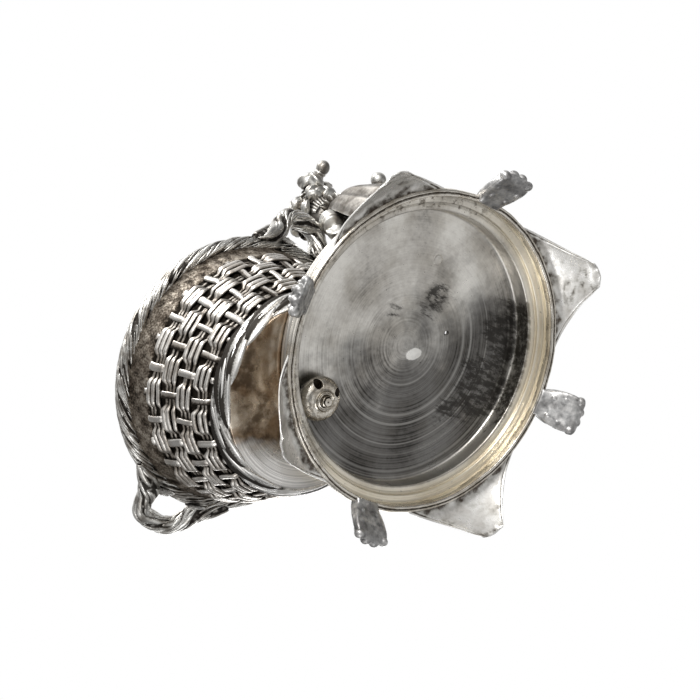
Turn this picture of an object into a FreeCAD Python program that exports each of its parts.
import FreeCAD, Part
import Sketcher
import math
import os

from FreeCAD import Placement, Rotation, Vector

# Figural salt cellar: a woven basket and a standing figure on a round, hollow plinth.
# Everything is drawn about the plinth's own axis, with the table at height zero,
# and the finished cellar is centred on the origin by its own outer box.

UP = Vector(0, 0, 1)
FULL_TURN = 360.0
HALF_TURN = 180.0
QUARTER_TURN = 90.0
EIGHTH_TURN = 45.0
SIDES = (1, -1)

DRIVING_SIZES = (
    ("ring_radius", 32.5, "inside radius of the foot ring"),
    ("ring_width", 1.5, "foot ring, across its section"),
    ("ring_height", 1.8, "foot ring, up its section"),
    ("ring_lift", 6.8, "table to the lower edge of the foot ring"),
    ("plinth_height", 8.8, "lower edge of the foot ring to the plinth top"),
    ("sheet_thickness", 0.8, "spun sheet of the plinth"),
    ("wall_inset", 3.4, "plinth wall, inside the foot ring's opening"),
    ("step_height", 1.0, "each turned step of the plinth wall"),
    ("flange_inset", 0.2, "flange of the drum, inside the foot ring's outside"),
    ("bead_width", 0.7, "bead round the plinth top, out of the wall"),
    ("bead_height", 1.2, "bead round the plinth top, up its section"),
    ("vent_radius", 0.45, "pin hole in the plinth top"),
    ("vent_reach", 10.6, "plinth axis to the pin hole"),
    ("vent_bearing", -33.0, "direction of the pin hole"),
    ("leaf_run", 7.9, "outside of the foot ring to the tip of a corner leaf"),
    ("leaf_thickness", 0.9, "sheet of a corner leaf"),
    ("leaf_rise", 1.2, "leaf root above the lower edge of the foot ring"),
    ("leaf_tip_width", 5.4, "blunt tip of a corner leaf"),
    ("leaf_root_angle", 27.0, "half the arc that a leaf root spans"),
    ("paw_run", 7.0, "outside of the foot ring to the front of the toes"),
    ("paw_width", 8.4, "paw across its toes"),
    ("paw_heel_lift", 5.2, "table to the heel of the sole"),
    ("paw_sole_lift", 1.5, "table to the front of the sole"),
    ("toe_radius", 1.45, "one toe of a paw"),
    ("toe_flat", 0.12, "worn off the bottom of a toe"),
    ("stud_inset", 8.4, "basket axis, inside the foot ring's opening"),
    ("stud_bearing", 135.0, "direction of the basket axis"),
    ("stud_radius", 1.2, "threaded stud"),
    ("stud_clearance", 0.15, "stud in its hole in the plinth, on the radius"),
    ("thread_clearance", 0.05, "nut on the stud, on the radius"),
    ("stud_end", 0.9, "stud below the nut"),
    ("washer_radius", 4.1, "loose shim washer"),
    ("washer_thickness", 0.55, "loose shim washer"),
    ("washer_slack", 0.75, "loose shim washer on the stud, on the radius"),
    ("nut_radius", 4.7, "domed nut"),
    ("nut_height", 2.5, "domed nut, seat to dome"),
    ("nut_edge", 0.7, "straight edge of the nut above the dome"),
    ("nut_collar_radius", 2.0, "raised collar round the nut's hole"),
    ("nut_collar_height", 0.4, "raised collar round the nut's hole"),
    ("notch_radius", 0.95, "spanner notch in the nut"),
    ("notch_depth", 1.3, "spanner notch in the nut"),
    ("foot_radius", 18.4, "salt bowl at its flat bottom"),
    ("mouth_radius", 26.7, "salt bowl at its mouth"),
    ("basket_height", 29.0, "basket, bottom to mouth"),
    ("mouth_shift", 2.2, "mouth of the hand-bent basket, off the middle of its bottom"),
    ("mouth_shift_bearing", 47.0, "direction in which the mouth is off"),
    ("bowl_wall", 0.9, "sheet of the salt bowl"),
    ("weave_thickness", 1.5, "cast wicker wall outside the bowl"),
    ("seat_clearance", 0.05, "rope or strap off the wicker wall"),
    ("rim_rope_radius", 1.7, "twisted rope round the mouth"),
    ("foot_rope_radius", 1.4, "leafy rope round the bottom"),
    ("handle_bearing", 95.0, "direction of the handles from the basket axis"),
    ("handle_rod_radius", 1.5, "twisted rod of a handle"),
    ("handle_loop_radius", 6.0, "loop of a handle, to the middle of its rod"),
    ("handle_reach", 9.7, "rope to the middle of the rod, out along the loop"),
    ("handle_tilt", 28.0, "handle loop above the level"),
    ("strap_length", 6.5, "leaf strap at a handle root"),
    ("strap_width", 2.6, "leaf strap at a handle root"),
    ("strap_thickness", 0.9, "leaf strap at a handle root"),
    ("figure_height", 52.2, "figure, hem to the crown of the head"),
    ("figure_inset", 13.6, "middle of the figure's hem, inside the foot ring's opening"),
    ("figure_bearing", -92.0, "direction of the figure"),
    ("figure_lean", 3.2, "neck behind the middle of the hem"),
    ("peg_radius", 1.1, "peg under the figure"),
    ("peg_clearance", 0.1, "peg in its hole, on the radius"),
    ("hem_radius", 8.0, "gown at its hem"),
    ("ball_radius", 1.7, "ball on the back of the cloak"),
    ("curl_radius", 1.75, "one curl of the hair bunch"),
)

SHEET_NAME = "Sizes"


def make_sheet(document):
    """Writes the driving sizes into a spreadsheet, one aliased cell each."""
    sheet = document.addObject("Spreadsheet::Sheet", SHEET_NAME)
    for row, (alias, value, meaning) in enumerate(DRIVING_SIZES, start=1):
        sheet.set("A%d" % row, alias)
        sheet.set("B%d" % row, str(value))
        sheet.setAlias("B%d" % row, alias)
        sheet.set("C%d" % row, meaning)
    document.recompute()
    return sheet


doc = FreeCAD.newDocument("salt_cellar")
sizes = make_sheet(doc)
pieces = []


def size(alias):
    """The value of one cell of the sheet."""
    return float(sizes.get(alias))


def formula(text):
    """An expression in cell names, with the sheet's name put before each of them."""
    words = []
    for word in text.split():
        words.append("%s.%s" % (SHEET_NAME, word) if word[0].isalpha() and "(" not in word else word)
    return " ".join(words)


def measure(text):
    """The value of an expression in cell names."""
    value = sizes.evalExpression(formula(text))
    return float(getattr(value, "Value", value))


def turned(point, bearing):
    """A point turned about the vertical axis by a bearing in degrees."""
    return Rotation(UP, bearing).multVec(point)


def keep(piece):
    """Adds a finished piece to the list that is written out."""
    pieces.append(piece)
    return piece


def body_plane(body, role):
    """One of a body's own origin planes."""
    return next(feature for feature in body.Origin.OriginFeatures if feature.Role == role)


def bind_point(sketch, line, end, across, along):
    """Holds one end of a sketch line at two expressions of the sheet."""
    for kind, text in (("DistanceX", across), ("DistanceY", along)):
        value = measure(text)
        if value == 0.0:
            axis = -2 if kind == "DistanceX" else -1
            sketch.addConstraint(Sketcher.Constraint("PointOnObject", line, end, axis))
            continue
        index = sketch.addConstraint(Sketcher.Constraint(kind, -1, 1, line, end, value))
        sketch.setExpression("Constraints[%d]" % index, formula(text))


def outline_sketch(body, name, corners):
    """A closed outline of straight lines in the body's upright plane, each corner bound."""
    sketch = body.newObject("Sketcher::SketchObject", name)
    sketch.AttachmentSupport = [(body_plane(body, "XZ_Plane"), "")]
    sketch.MapMode = "FlatFace"
    points = [Vector(measure(across), measure(along), 0) for across, along in corners]
    for index, point in enumerate(points):
        following = points[(index + 1) % len(points)]
        sketch.addGeometry(Part.LineSegment(point, following), False)
    for index in range(len(points)):
        sketch.addConstraint(Sketcher.Constraint("Coincident", index, 2, (index + 1) % len(points), 1))
    for index, (across, along) in enumerate(corners):
        bind_point(sketch, index, 1, across, along)
    return sketch


def turned_body(name, corners):
    """A body turned on the lathe: its outline swept once round the upright axis."""
    body = doc.addObject("PartDesign::Body", name)
    body.Label = name
    sketch = outline_sketch(body, name + "_outline", corners)
    doc.recompute()
    revolution = body.newObject("PartDesign::Revolution", name + "_turning")
    revolution.Profile = sketch
    revolution.ReferenceAxis = (sketch, ["V_Axis"])
    revolution.Angle = FULL_TURN
    body.Tip = revolution
    doc.recompute()
    return keep(body)


def drill(body, name, holes, depth, start="0"):
    """Sinks round holes upwards into a body: each hole is (across, along, radius)."""
    sketch = body.newObject("Sketcher::SketchObject", name)
    sketch.AttachmentSupport = [(body_plane(body, "XY_Plane"), "")]
    sketch.MapMode = "FlatFace"
    if start != "0":
        sketch.setExpression("AttachmentOffset.Base.z", formula(start))
    for index, (across, along, radius) in enumerate(holes):
        centre = Vector(measure(across), measure(along), 0)
        sketch.addGeometry(Part.Circle(centre, UP, measure(radius)), False)
        bind_point(sketch, index, 3, across, along)
        radius_index = sketch.addConstraint(Sketcher.Constraint("Radius", index, measure(radius)))
        sketch.setExpression("Constraints[%d]" % radius_index, formula(radius))
    doc.recompute()
    before = body.Shape.Volume
    pocket = body.newObject("PartDesign::Pocket", name + "_pocket")
    pocket.Profile = sketch
    pocket.Reversed = True
    pocket.setExpression("Length", formula(depth))
    body.Tip = pocket
    doc.recompute()
    if not body.Shape.Volume < before:
        raise RuntimeError("%s cuts nothing" % name)


def put(piece, base, turn=0.0):
    """Stands a piece at a place, turned about the vertical axis."""
    piece.Placement = Placement(base, Rotation(UP, turn))
    doc.recompute()
    return piece


def feature(name, shape, base=Vector(0, 0, 0)):
    """A piece with its own solid shape and a place."""
    piece = doc.addObject("Part::Feature", name)
    piece.Label = name
    if len(shape.Solids) == 1:
        shape = shape.Solids[0]
    piece.Shape = shape
    piece.Placement = Placement(base, Rotation()).multiply(shape.Placement)
    doc.recompute()
    return keep(piece)


def carved(shape, neighbours):
    """A shape with its neighbours' solids cut away, so that they meet face to face."""
    for neighbour in neighbours:
        shape = shape.cut(neighbour.Shape)
    solids = sorted(shape.Solids, key=lambda solid: solid.Volume)
    return solids[-1]


def oval_wire(centre, half_across, half_along, turn=0.0):
    """An oval wire in a level plane."""
    longest = max(half_across, half_along)
    shortest = min(half_across, half_along)
    if longest == shortest:
        edge = Part.Circle(centre, UP, longest).toShape()
    else:
        quarter = 0.0 if half_across >= half_along else QUARTER_TURN
        ellipse = Part.Ellipse(Vector(0, 0, 0), longest, shortest)
        edge = ellipse.toShape()
        edge.Placement = Placement(centre, Rotation(UP, turn + quarter))
    return Part.Wire([edge])


def oval_loft(sections):
    """A closed solid through level ovals."""
    return Part.makeLoft([oval_wire(*section) for section in sections], True, False)


def ball(centre, radius):
    """A ball about a centre."""
    return Part.makeSphere(radius, centre)


def limb(start, end, start_radius, end_radius):
    """A tapered round limb between two points, with rounded ends, turned about its own axis."""
    run = (end - start).Length
    slant = math.sqrt(0.5)
    foot = Vector(0, 0, -start_radius)
    crown = Vector(0, 0, run + end_radius)
    low = Vector(start_radius, 0, 0)
    high = Vector(end_radius, 0, run)
    low_middle = Vector(start_radius * slant, 0, -start_radius * slant)
    high_middle = Vector(end_radius * slant, 0, run + end_radius * slant)
    outline = Part.Wire([
        Part.Arc(foot, low_middle, low).toShape(),
        Part.LineSegment(low, high).toShape(),
        Part.Arc(high, high_middle, crown).toShape(),
        Part.LineSegment(crown, foot).toShape(),
    ])
    shape = Part.Face(outline).revolve(Vector(0, 0, 0), UP, FULL_TURN)
    shape.Placement = Placement(start, Rotation(UP, end - start))
    return shape


# The plinth: a spun drum over a foot ring

wall_line = "ring_radius - wall_inset"
middle_line = "ring_radius - wall_inset / 2"
flange_line = "ring_radius + ring_width - flange_inset"
lower_step = "ring_height + step_height"
upper_step = "ring_height + step_height * 2"

foot_ring = turned_body("foot_ring", (
    ("ring_radius", "0"),
    ("ring_radius + ring_width / 2", "0"),
    ("ring_radius + ring_width", "ring_height / 3"),
    ("ring_radius + ring_width", "ring_height"),
    ("ring_radius", "ring_height"),
))

plinth_drum = turned_body("plinth_drum", (
    ("ring_radius", "ring_height"),
    (flange_line, "ring_height"),
    (flange_line, lower_step + " + sheet_thickness"),
    (middle_line + " + sheet_thickness", lower_step + " + sheet_thickness"),
    (middle_line + " + sheet_thickness", upper_step + " + sheet_thickness"),
    (wall_line + " + sheet_thickness", upper_step + " + sheet_thickness"),
    (wall_line + " + sheet_thickness", "plinth_height - bead_height"),
    (wall_line + " + sheet_thickness + bead_width", "plinth_height - bead_height * 2 / 3"),
    (wall_line + " + sheet_thickness + bead_width", "plinth_height - bead_height / 3"),
    (wall_line + " + sheet_thickness", "plinth_height"),
    ("0", "plinth_height"),
    ("0", "plinth_height - sheet_thickness"),
    (wall_line, "plinth_height - sheet_thickness"),
    (wall_line, upper_step),
    (middle_line, upper_step),
    (middle_line, lower_step),
    ("ring_radius", lower_step),
))


def bearing_point(reach, bearing):
    """Two expressions for a point at a reach and a bearing from the plinth axis."""
    across = "( %s ) * cos(%s.%s)" % (reach, SHEET_NAME, bearing)
    along = "( %s ) * sin(%s.%s)" % (reach, SHEET_NAME, bearing)
    return across, along


drill(plinth_drum, "plinth_holes", (
    bearing_point("ring_radius - stud_inset", "stud_bearing") + ("stud_radius + stud_clearance",),
    bearing_point("ring_radius - figure_inset", "figure_bearing") + ("peg_radius + peg_clearance",),
    bearing_point("vent_reach", "vent_bearing") + ("vent_radius",),
), "plinth_height")

ring_place = Vector(0, 0, size("ring_lift"))
put(foot_ring, ring_place)
put(plinth_drum, ring_place)
plinth_top = size("ring_lift") + size("plinth_height")
plinth_ceiling = plinth_top - size("sheet_thickness")
ring_outside = size("ring_radius") + size("ring_width")
stud_reach = size("ring_radius") - size("stud_inset")
figure_reach = size("ring_radius") - size("figure_inset")


# Corner leaves: drooping sheet, hollow-sided, that turns the round foot into a square

LEAF_DROOP_SHARES = ((0.0, 0.0), (0.22, 0.06), (0.52, 0.40), (0.80, 0.80), (1.0, 1.0))
LEAF_WAIST_SHARE = 0.86


def leaf_sheet():
    """The bent sheet before its sides are cut: a drooping band turned round the plinth axis."""
    root_height = size("ring_lift") + size("leaf_rise")
    fall = root_height
    run = size("leaf_run")
    upper = []
    lower = []
    for out_share, down_share in LEAF_DROOP_SHARES:
        reach = ring_outside + run * out_share
        level = root_height + (size("leaf_thickness") - fall) * down_share
        upper.append(Vector(reach, 0, level))
        lower.append(Vector(reach, 0, level - size("leaf_thickness")))
    spline_upper = Part.BSplineCurve()
    spline_upper.interpolate(upper)
    spline_lower = Part.BSplineCurve()
    spline_lower.interpolate(lower)
    wire = Part.Wire([
        spline_upper.toShape(),
        Part.LineSegment(upper[-1], lower[-1]).toShape(),
        spline_lower.toShape(),
        Part.LineSegment(lower[0], upper[0]).toShape(),
    ])
    return Part.Face(wire).revolve(Vector(0, 0, 0), UP, FULL_TURN)


def leaf_outline():
    """The plan of a leaf along +X: hollow sides that run to a blunt tip."""
    half_root = math.radians(size("leaf_root_angle"))
    root = Vector(ring_outside * math.cos(half_root), ring_outside * math.sin(half_root), 0)
    inner = root * (size("ring_radius") / ring_outside)
    tip_half = size("leaf_tip_width") / 2
    reach = ring_outside + size("leaf_run")
    shoulder = Vector(reach - tip_half / 2, tip_half, 0)
    tip = Vector(reach, 0, 0)
    middle = (root + shoulder) / 2
    waist = Vector(middle.x, middle.y * LEAF_WAIST_SHARE, 0)

    def mirrored(point):
        return Vector(point.x, -point.y, point.z)

    edges = [
        Part.LineSegment(inner, root).toShape(),
        Part.Arc(root, waist, shoulder).toShape(),
        Part.Arc(shoulder, tip, mirrored(shoulder)).toShape(),
        Part.Arc(mirrored(shoulder), mirrored(waist), mirrored(root)).toShape(),
        Part.LineSegment(mirrored(root), mirrored(inner)).toShape(),
        Part.LineSegment(mirrored(inner), inner).toShape(),
    ]
    return Part.Face(Part.Wire(edges))


leaf_height = size("ring_lift") + size("leaf_rise")
leaf_blank = leaf_outline().extrude(UP * leaf_height)
leaf_shape = leaf_blank.common(leaf_sheet())
corner_leaves = []
for corner in range(4):
    turned_leaf = leaf_shape.copy()
    turned_leaf.rotate(Vector(0, 0, 0), UP, EIGHTH_TURN + corner * QUARTER_TURN)
    corner_leaves.append(feature("corner_leaf_%d" % (corner + 1), carved(turned_leaf, [foot_ring])))


# Paw feet: four cast paws at the middles of the sides, on their toes

TOE_SPREAD_SHARES = (-0.405, -0.145, 0.145, 0.405)
OUTER_TOE_SETBACK_SHARE = 0.5
PAW_BACK_SHARES = ((0.0, 1.0), (0.45, 0.80), (0.80, 0.48), (0.97, 0.24))
PAW_NECK_SHARE = 0.62


def paw_shape():
    """One paw along +X: a foot cut from two prisms, with four toes in front."""
    neck = size("ring_radius")
    run = size("paw_run") - size("toe_radius")
    toe_line = ring_outside + run
    crown = size("ring_lift") + size("ring_height") + size("step_height")
    side = [Vector(neck, 0, size("paw_heel_lift")), Vector(ring_outside, 0, size("paw_heel_lift"))]
    side.append(Vector(toe_line, 0, size("paw_sole_lift")))
    for out_share, up_share in reversed(PAW_BACK_SHARES):
        side.append(Vector(ring_outside + run * out_share, 0, crown * up_share))
    side.append(Vector(neck, 0, crown))
    side.append(side[0])
    half_width = size("paw_width") / 2
    body = Part.Face(Part.makePolygon(side)).extrude(Vector(0, size("paw_width"), 0))
    body.translate(Vector(0, -half_width, 0))
    half_neck = half_width * PAW_NECK_SHARE
    cheek = ring_outside + run / 2
    plan = [Vector(neck, -half_neck, 0), Vector(ring_outside, -half_neck, 0)]
    plan += [Vector(cheek, -half_width, 0), Vector(toe_line, -half_width, 0)]
    plan += [Vector(toe_line, half_width, 0), Vector(cheek, half_width, 0)]
    plan += [Vector(ring_outside, half_neck, 0), Vector(neck, half_neck, 0)]
    plan.append(plan[0])
    blank = Part.Face(Part.makePolygon(plan)).extrude(UP * crown)
    paw = body.common(blank)
    toe_level = size("toe_radius") - size("toe_flat")
    for spread_share in TOE_SPREAD_SHARES:
        outermost = abs(spread_share) == max(TOE_SPREAD_SHARES)
        setback = size("toe_radius") * OUTER_TOE_SETBACK_SHARE if outermost else 0.0
        centre = Vector(toe_line - setback, size("paw_width") * spread_share, toe_level)
        paw = paw.fuse(ball(centre, size("toe_radius")))
    above = Part.makeBox(size("paw_run") * 2, size("paw_width") * 2, crown * 2)
    above.translate(Vector(neck, -size("paw_width"), 0))
    return paw.common(above)


paw_blank = paw_shape()
paw_feet = []
for side_index in range(4):
    turned_paw = paw_blank.copy()
    turned_paw.rotate(Vector(0, 0, 0), UP, side_index * QUARTER_TURN)
    paw = carved(turned_paw, [foot_ring, plinth_drum])
    paw_feet.append(feature("paw_foot_%d" % (side_index + 1), paw))


# The basket: a spun salt bowl inside a cast wicker wall, between two ropes

BELLY_SHARES = ((0.0, 0.0), (0.25, 0.34), (0.5, 0.61), (0.75, 0.82), (1.0, 1.0))


def basket_line(offset, floor):
    """Expressions down the flare of the basket, at an offset from the bowl's outside."""
    rise = "( basket_height - %s )" % floor if floor != "0" else "basket_height"
    start = floor + " + " if floor != "0" else ""
    line = []
    for up_share, out_share in BELLY_SHARES:
        across = "foot_radius + ( mouth_radius - foot_radius ) * %s %s" % (out_share, offset)
        along = "%s%s * %s" % (start, rise, up_share) if up_share else floor
        line.append((across, along))
    return line


stud_place = turned(Vector(stud_reach, 0, 0), size("stud_bearing"))
basket_place = stud_place + UP * plinth_top
mouth_shift = turned(Vector(size("mouth_shift"), 0, 0), size("mouth_shift_bearing"))
basket_mouth = basket_place + UP * size("basket_height") + mouth_shift


def leaned(line):
    """The solid inside an upright line of the basket, each level of it moved in step with the mouth's shift."""
    rings = []
    for point in line:
        centre = mouth_shift * (point.z / size("basket_height")) + UP * point.z
        rings.append(Part.Wire(Part.Circle(centre, UP, point.x).toShape()))
    return Part.makeLoft(rings, True, True)


def points_of(line):
    """Points of an upright outline that is given in expressions."""
    return [Vector(measure(across), 0, measure(along)) for across, along in line]


bowl_outer = leaned(points_of(basket_line("", "0")))
bowl_inner = leaned(points_of(basket_line("- bowl_wall", "bowl_wall")))
salt_bowl = feature("salt_bowl", bowl_outer.cut(bowl_inner), basket_place)

wicker = leaned(points_of(basket_line("+ weave_thickness", "0"))).cut(bowl_outer)
woven_wall = feature("woven_wall", wicker, basket_place)


def basket_core():
    """The basket as one solid, larger by the seat clearance, which the ropes are cut to."""
    core = leaned(points_of(basket_line("+ weave_thickness + seat_clearance", "0")))
    core.translate(basket_place)
    return core


def cut_to_basket(shape, neighbours=()):
    """The largest solid that is left of a shape outside the basket and its neighbours."""
    solids = carved(shape, neighbours).cut(basket_core()).Solids
    return max(solids, key=lambda solid: solid.Volume)


def rope_ring(line_radius, rod_radius, centre):
    """A level rope ring, with its closing seam a quarter turn from the seam of the basket."""
    ring = Part.makeTorus(line_radius, rod_radius, centre)
    ring.rotate(centre, UP, QUARTER_TURN)
    return ring


rim_rope_line = size("mouth_radius") + size("weave_thickness")
rim_torus = rope_ring(rim_rope_line, size("rim_rope_radius"), basket_mouth)
rim_rope = feature("rim_rope", cut_to_basket(rim_torus))

foot_rope_line = size("foot_radius") + size("weave_thickness")
foot_rope_centre = basket_place + UP * (size("foot_rope_radius") + size("seat_clearance"))
foot_torus = rope_ring(foot_rope_line, size("foot_rope_radius"), foot_rope_centre)
foot_rope = feature("foot_rope", cut_to_basket(foot_torus))


def loop_frame(side):
    """The place of a handle: the rope point, the way out along the loop and the way across."""
    bearing = size("handle_bearing") + (0.0 if side > 0 else HALF_TURN)
    outward = turned(Vector(1, 0, 0), bearing)
    across = turned(Vector(0, 1, 0), bearing)
    root = basket_mouth + outward * rim_rope_line
    tilt = math.radians(size("handle_tilt"))
    along = outward * math.cos(tilt) + UP * math.sin(tilt)
    return root, outward, along, across


def handle_shape(side):
    """A loop of round rod that stands out of the rope, both ends sunk to the rope's face."""
    root, outward, along, across = loop_frame(side)
    centre = root + along * (size("handle_reach") - size("handle_loop_radius"))
    normal = along.cross(across)
    return Part.makeTorus(size("handle_loop_radius"), size("handle_rod_radius"), centre, normal)


def outer_half(root, outward):
    """A block that keeps what lies outside the rope's own line."""
    block_size = (size("handle_reach") + size("handle_loop_radius")) * 2
    block = Part.makeBox(block_size, block_size * 2, block_size * 2)
    block.translate(Vector(0, -block_size, -block_size))
    turn = math.degrees(math.atan2(outward.y, outward.x))
    block.rotate(Vector(0, 0, 0), UP, turn)
    block.translate(root)
    return block


handles = []
for index, side in enumerate(SIDES, start=1):
    root, outward, along, across = loop_frame(side)
    loop = handle_shape(side).common(outer_half(root, outward))
    handles.append(feature("handle_%d" % index, cut_to_basket(loop, [rim_rope])))


def strap_shape(side, hand):
    """A pointed leaf that laps the rope below a handle root and lies down the wicker."""
    root, outward, along, across = loop_frame(side)
    spread = size("handle_loop_radius") - size("handle_rod_radius")
    angle = math.degrees(spread / rim_rope_line) * hand
    facing = Rotation(UP, angle).multVec(outward)
    sideways = UP.cross(facing)
    outer = basket_mouth + facing * (rim_rope_line + size("rim_rope_radius") + size("strap_thickness"))
    half_width = size("strap_width") / 2
    half_length = size("strap_length") / 2
    crown = outer
    foot = crown - UP * size("strap_length")
    waist = crown - UP * half_length
    corners = [crown - sideways * half_width, crown + sideways * half_width]
    corners += [waist + sideways * half_width, foot, waist - sideways * half_width]
    corners.append(corners[0])
    inward = facing * (size("strap_thickness") + size("rim_rope_radius") + size("weave_thickness"))
    return Part.Face(Part.makePolygon(corners)).extrude(inward * -1)


strap_number = 0
straps = []
for side_index, side in enumerate(SIDES):
    for hand in SIDES:
        strap_number += 1
        strap = cut_to_basket(strap_shape(side, hand), [rim_rope, handles[side_index]])
        straps.append(feature("handle_leaf_%d" % strap_number, strap))


# The fixing: a threaded stud under the bowl, shim washers and a domed nut

WASHER_COUNT = 3
WASHER_BEARINGS = (60.0, 100.0, 20.0)
NOTCH_BEARINGS = (-45.0, -135.0)
NUT_DOME_SHARES = ((0.70, 0.16), (0.92, 0.45))

stack_height = size("washer_thickness") * WASHER_COUNT
nut_depth = size("nut_height") + size("nut_collar_height")
stud_line = "sheet_thickness + washer_thickness * %d" % WASHER_COUNT
stud_line += " + nut_height + nut_collar_height + stud_end"
stud_length = measure(stud_line)
basket_stud = doc.addObject("Part::Cylinder", "basket_stud")
basket_stud.Label = "basket_stud"
basket_stud.setExpression("Radius", formula("stud_radius"))
basket_stud.setExpression("Height", formula(stud_line))
keep(basket_stud)
put(basket_stud, basket_place - UP * stud_length)

washers = []
for washer_index, bearing in enumerate(WASHER_BEARINGS):
    washer = turned_body("shim_washer_%d" % (washer_index + 1), (
        ("stud_radius + washer_slack", "0"),
        ("washer_radius", "0"),
        ("washer_radius", "washer_thickness"),
        ("stud_radius + washer_slack", "washer_thickness"),
    ))
    hang = size("washer_slack") - size("thread_clearance")
    offset = turned(Vector(hang, 0, 0), bearing)
    level = plinth_ceiling - size("washer_thickness") * (washer_index + 1)
    put(washer, Vector(stud_place.x, stud_place.y, level) + offset)
    washers.append(washer)

nut_bore = "stud_radius + thread_clearance"
nut_dome = [
    ("nut_radius * %s" % out_share, "nut_collar_height + nut_height * %s" % up_share)
    for out_share, up_share in NUT_DOME_SHARES
]
dome_nut = turned_body("dome_nut", (
    [(nut_bore, "0"), ("nut_collar_radius", "0"), ("nut_collar_radius", "nut_collar_height")]
    + nut_dome
    + [
        ("nut_radius", "nut_collar_height + nut_height - nut_edge"),
        ("nut_radius", "nut_collar_height + nut_height"),
        (nut_bore, "nut_collar_height + nut_height"),
    ]
))
notch_reach = "( nut_radius - notch_radius )"
drill(dome_nut, "nut_notches", [
    (
        "%s * cos( %s )" % (notch_reach, bearing),
        "%s * sin( %s )" % (notch_reach, bearing),
        "notch_radius",
    )
    for bearing in NOTCH_BEARINGS
], "nut_collar_height + notch_depth")
nut_level = plinth_ceiling - stack_height - nut_depth
put(dome_nut, Vector(stud_place.x, stud_place.y, nut_level))


# The figure: a child in a long gown and a pleated cloak, with a bunch of curls

GOWN_SHARES = ((0.0, 1.0), (0.06, 0.98), (0.20, 0.80), (0.36, 0.57), (0.47, 0.44))
BODICE_SHARES = ((0.47, 0.066, 0.056), (0.54, 0.072, 0.060), (0.62, 0.088, 0.066),
                 (0.68, 0.090, 0.058), (0.725, 0.040, 0.038), (0.78, 0.034, 0.034))
CLOAK_SHARES = ((0.20, 0.150, 0.020, 0.225, 0.150), (0.36, 0.155, 0.016, 0.225, 0.125),
                (0.52, 0.138, 0.012, 0.185, 0.088), (0.64, 0.110, 0.010, 0.140, 0.086),
                (0.72, 0.066, 0.008, 0.080, 0.050))
COLLAR_SHARES = (0.735, 0.060, 0.024)
HEAD_CENTRE_SHARES = (0.872, -0.030)
HEAD_HALF_SHARES = (0.082, 0.105)
HAIR_CENTRE_SHARES = (0.945, 0.075)
CURL_PLACE_SHARES = (
    (1.0, 0.1, 0.1), (-1.0, 0.2, 0.0), (0.4, -0.8, 0.9), (-0.5, -0.7, 0.8),
    (0.1, 0.9, 0.9), (0.5, 1.1, -0.5), (-0.6, 1.0, -0.4), (0.0, 0.2, 1.6),
)
CURL_STEP_SHARE = 1.15
TIP_CURL_SHARES = (0.2, 2.6, 0.4)
SHOULDER_SHARES = (0.082, -0.034, 0.660)
ELBOW_SHARES = (0.122, -0.050, 0.555)
HAND_SHARES = (0.026, -0.128, 0.570)
ARM_RADIUS_SHARES = (0.038, 0.041, 0.020)
BALL_SHARES = (0.012, 0.545)

figure_base = turned(Vector(figure_reach, 0, 0), size("figure_bearing")) + UP * plinth_top
figure_scale = size("figure_height")
figure_back = turned(Vector(1, 0, 0), size("figure_bearing"))
figure_side = UP.cross(figure_back)


def figure_point(up_share, back_share=0.0, side_share=0.0):
    """A point of the figure: up its leaning axis, then towards its back and its side."""
    lean = size("figure_lean") * min(up_share / COLLAR_SHARES[0], 1.0)
    back = lean + figure_scale * back_share
    point = figure_base + UP * (figure_scale * up_share)
    return point + figure_back * back + figure_side * (figure_scale * side_share)


def figure_oval(up_share, across_share, deep_share, back_share=0.0):
    """A level oval section of the figure: centre, half across, half deep and its turn."""
    centre = figure_point(up_share, back_share)
    turn = size("figure_bearing") - QUARTER_TURN
    return centre, figure_scale * across_share, figure_scale * deep_share, turn


gown_sections = []
for up_share, width_share in GOWN_SHARES:
    radius = size("hem_radius") * width_share
    gown_sections.append((figure_point(up_share), radius, radius, 0.0))
figure_gown = feature("figure_gown", oval_loft(gown_sections))

bodice_loft = oval_loft([figure_oval(*share) for share in BODICE_SHARES])
figure_bodice = feature("figure_bodice", carved(bodice_loft, [figure_gown]))


def cloak_section(up_share, half_share, tip_back_share, outer_back_share, inner_back_share):
    """A level crescent of the cloak, hollow towards the gown."""
    left = figure_point(up_share, tip_back_share, half_share)
    right = figure_point(up_share, tip_back_share, -half_share)
    outer = figure_point(up_share, outer_back_share)
    inner = figure_point(up_share, inner_back_share)
    return Part.Wire([Part.Arc(left, outer, right).toShape(), Part.Arc(right, inner, left).toShape()])


cloak_wires = [cloak_section(*shares) for shares in CLOAK_SHARES]
figure_cloak = feature("figure_cloak", Part.makeLoft(cloak_wires, True, False))

collar_share, collar_radius_share, collar_tube_share = COLLAR_SHARES
collar_ring = Part.makeTorus(
    figure_scale * (collar_radius_share - collar_tube_share / 2),
    figure_scale * collar_tube_share,
    figure_point(collar_share),
)
figure_collar = feature("figure_collar", carved(collar_ring, [figure_bodice, figure_cloak]))

head_up_share, head_back_share = HEAD_CENTRE_SHARES
head_centre = figure_point(head_up_share, head_back_share)
half_across, half_tall = [figure_scale * share for share in HEAD_HALF_SHARES]


def egg(centre, across, tall):
    """An egg-shaped solid, turned about its upright axis."""
    ellipse = Part.Ellipse(Vector(0, 0, tall), Vector(across, 0, 0), Vector(0, 0, 0))
    foot = Vector(0, 0, -tall)
    crown = Vector(0, 0, tall)
    side = Part.ArcOfEllipse(ellipse, -math.pi, 0.0)
    outline = Part.Wire([side.toShape(), Part.LineSegment(foot, crown).toShape()])
    shape = Part.Face(outline).revolve(Vector(0, 0, 0), UP, FULL_TURN)
    shape.translate(centre)
    return shape


head_shape = egg(head_centre, half_across, half_tall)
figure_head = feature("figure_head", carved(head_shape, [figure_bodice, figure_collar]))

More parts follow.
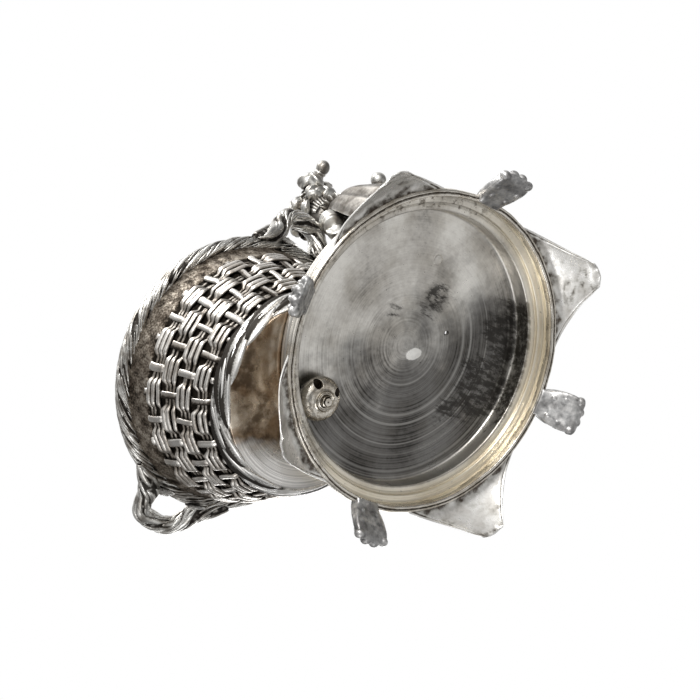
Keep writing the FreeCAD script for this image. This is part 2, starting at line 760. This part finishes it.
hair_up_share, hair_back_share = HAIR_CENTRE_SHARES
hair_centre = figure_point(hair_up_share, hair_back_share)
curl_step = size("curl_radius") * CURL_STEP_SHARE


def curl_place(side_share, back_share, up_share):
    """The centre of one curl about the middle of the bunch, before the bunch is turned."""
    return Vector(side_share, back_share, up_share) * curl_step


hair_shape = ball(Vector(0, 0, 0), curl_step)
for place_shares in CURL_PLACE_SHARES:
    hair_shape = hair_shape.fuse(ball(curl_place(*place_shares), size("curl_radius")))
tip_stalk = limb(Vector(0, 0, 0), curl_place(*TIP_CURL_SHARES), size("curl_radius"), size("curl_radius"))
hair_shape = hair_shape.fuse(tip_stalk)
hair_shape.rotate(Vector(0, 0, 0), UP, size("figure_bearing") - QUARTER_TURN)
hair_shape.translate(hair_centre)
figure_hair = feature("figure_hair", carved(hair_shape, [figure_head]))

arms = []
for index, side in enumerate(SIDES, start=1):
    joints = []
    for side_share, back_share, up_share in (SHOULDER_SHARES, ELBOW_SHARES, HAND_SHARES):
        joints.append(figure_point(up_share, back_share, side_share * side))
    radii = [figure_scale * share for share in ARM_RADIUS_SHARES]
    arm = limb(joints[0], joints[1], radii[0], radii[1])
    arm = arm.fuse(limb(joints[1], joints[2], radii[1], radii[2]))
    neighbours = [figure_bodice, figure_gown] + arms
    arms.append(feature("figure_arm_%d" % index, carved(arm, neighbours)))

ball_back_share, ball_up_share = BALL_SHARES
back_line = Part.makeCylinder(
    size("ball_radius") / 2, figure_scale, figure_point(ball_up_share), figure_back
).common(figure_cloak.Shape)
back_surface = max((vertex.Point - figure_point(ball_up_share)).dot(figure_back)
                   for vertex in back_line.Vertexes)
ball_centre = figure_point(ball_up_share) + figure_back * (back_surface + size("ball_radius") / 2)
cloak_ball = feature("cloak_ball", carved(ball(ball_centre, size("ball_radius")), [figure_cloak]))

peg_line = "sheet_thickness + peg_clearance * 2"
figure_peg = doc.addObject("Part::Cylinder", "figure_peg")
figure_peg.Label = "figure_peg"
figure_peg.setExpression("Radius", formula("peg_radius"))
figure_peg.setExpression("Height", formula(peg_line))
keep(figure_peg)
put(figure_peg, figure_base - UP * measure(peg_line))


# Checks, centring and the files

def fault_of(piece):
    """What is wrong with a piece, or nothing."""
    shape = piece.Shape
    if shape.isNull() or not shape.isValid():
        return "no valid shape"
    if len(shape.Solids) != 1:
        return "%d solids" % len(shape.Solids)
    return ""


doc.recompute()
for item in doc.Objects:
    if "Invalid" in item.State or "Error" in item.State:
        raise RuntimeError("%s did not build: %s" % (item.Label, item.State))
for piece in pieces:
    fault = fault_of(piece)
    if fault:
        raise RuntimeError("%s: %s" % (piece.Label, fault))

whole = FreeCAD.BoundBox()
for piece in pieces:
    whole.add(piece.Shape.optimalBoundingBox(False, False))
shift = Vector(-whole.Center.x, -whole.Center.y, 0)
for piece in pieces:
    piece.Placement = Placement(shift, Rotation()).multiply(piece.Placement)
doc.recompute()

os.makedirs("parts", exist_ok=True)
for piece in pieces:
    piece.Shape.exportStep(os.path.join("parts", piece.Label + ".step"))

print("pieces %d" % len(pieces))
print("whole box %.2f x %.2f x %.2f, lowest %.3f" % (whole.XLength, whole.YLength, whole.ZLength, whole.ZMin))
print("plinth axis at %.3f, %.3f" % (shift.x, shift.y))
print("stud axis at %.3f, %.3f" % (shift.x + stud_place.x, shift.y + stud_place.y))
print("plinth top %.3f, ceiling %.3f, basket mouth %.3f" % (plinth_top, plinth_ceiling, basket_mouth.z))
print("nut level %.3f, stud end %.3f" % (nut_level, basket_place.z - stud_length))
